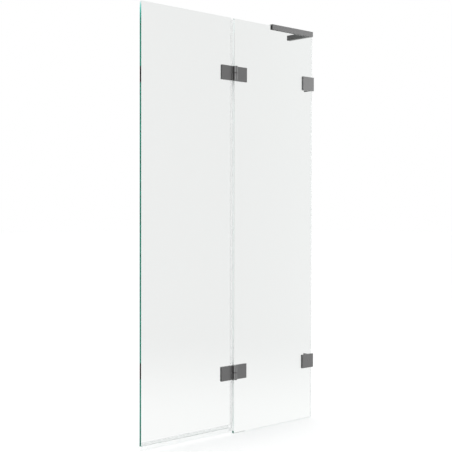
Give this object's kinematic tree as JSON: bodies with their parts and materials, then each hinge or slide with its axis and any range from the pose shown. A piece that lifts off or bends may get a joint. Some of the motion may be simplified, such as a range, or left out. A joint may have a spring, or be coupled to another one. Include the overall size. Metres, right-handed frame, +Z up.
{
  "type": "bath screen",
  "caption": "Frameless bath screen: a clear glass panel held to the wall by gunmetal brackets and a head rail, with a hinged glass door that folds outwards.",
  "frame": {"origin": "foot of the wall line: where the wall plane, the middle plane of the glass and the bath rim meet", "axes": "+X points into the wall, so the screen runs along -X to its free edge; +Y points over the bath, and the room is on the -Y side; +Z is up"},
  "size_m": [0.85, 0.1465, 1.505],
  "materials": {
    "clear_glass": "polished",
    "gunmetal": "satin brushed",
    "stainless_steel": "satin",
    "gasket_plastic": "matt",
    "clear_seal": "glossy"
  },
  "bodies": {
    "fixed_screen": {"fixed_glass_panel": "clear_glass", "head_rail_channel": "gunmetal", "head_rail_end_cap": "gunmetal", "head_rail_gasket": "gasket_plastic", "head_rail_hole_caps": "gunmetal", "head_rail_wall_arm": "gunmetal", "lower_bracket_angle": "gunmetal", "lower_bracket_bushes": "gasket_plastic", "lower_bracket_cover": "gunmetal", "lower_bracket_gaskets": "gasket_plastic", "lower_bracket_screws": "stainless_steel", "lower_hinge_fixed_bushes": "gasket_plastic", "lower_hinge_fixed_clamp_plate": "gunmetal", "lower_hinge_fixed_gaskets": "gasket_plastic", "lower_hinge_fixed_leaf": "gunmetal", "lower_hinge_fixed_screws": "stainless_steel", "lower_hinge_pin": "stainless_steel", "lower_hinge_washer": "gasket_plastic", "seam_seal_strip": "clear_seal", "upper_bracket_angle": "gunmetal", "upper_bracket_bushes": "gasket_plastic", "upper_bracket_cover": "gunmetal", "upper_bracket_gaskets": "gasket_plastic", "upper_bracket_screws": "stainless_steel", "upper_hinge_fixed_bushes": "gasket_plastic", "upper_hinge_fixed_clamp_plate": "gunmetal", "upper_hinge_fixed_gaskets": "gasket_plastic", "upper_hinge_fixed_leaf": "gunmetal", "upper_hinge_fixed_screws": "stainless_steel", "upper_hinge_pin": "stainless_steel", "upper_hinge_washer": "gasket_plastic", "wall_seal_strip": "clear_seal"},
    "door": {"door_drip_seal": "clear_seal", "door_glass_panel": "clear_glass", "lower_hinge_door_bushes": "gasket_plastic", "lower_hinge_door_clamp_plate": "gunmetal", "lower_hinge_door_gaskets": "gasket_plastic", "lower_hinge_door_leaf": "gunmetal", "lower_hinge_door_screws": "stainless_steel", "upper_hinge_door_bushes": "gasket_plastic", "upper_hinge_door_clamp_plate": "gunmetal", "upper_hinge_door_gaskets": "gasket_plastic", "upper_hinge_door_leaf": "gunmetal", "upper_hinge_door_screws": "stainless_steel"}
  },
  "joints": [
    {"name": "door_swing", "type": "hinge", "parent": "fixed_screen", "child": "door", "pos_m": [-0.43, -0.0185, 0.75], "axis": [0, 0, 1], "range_deg": [0, 180]}
  ]
}
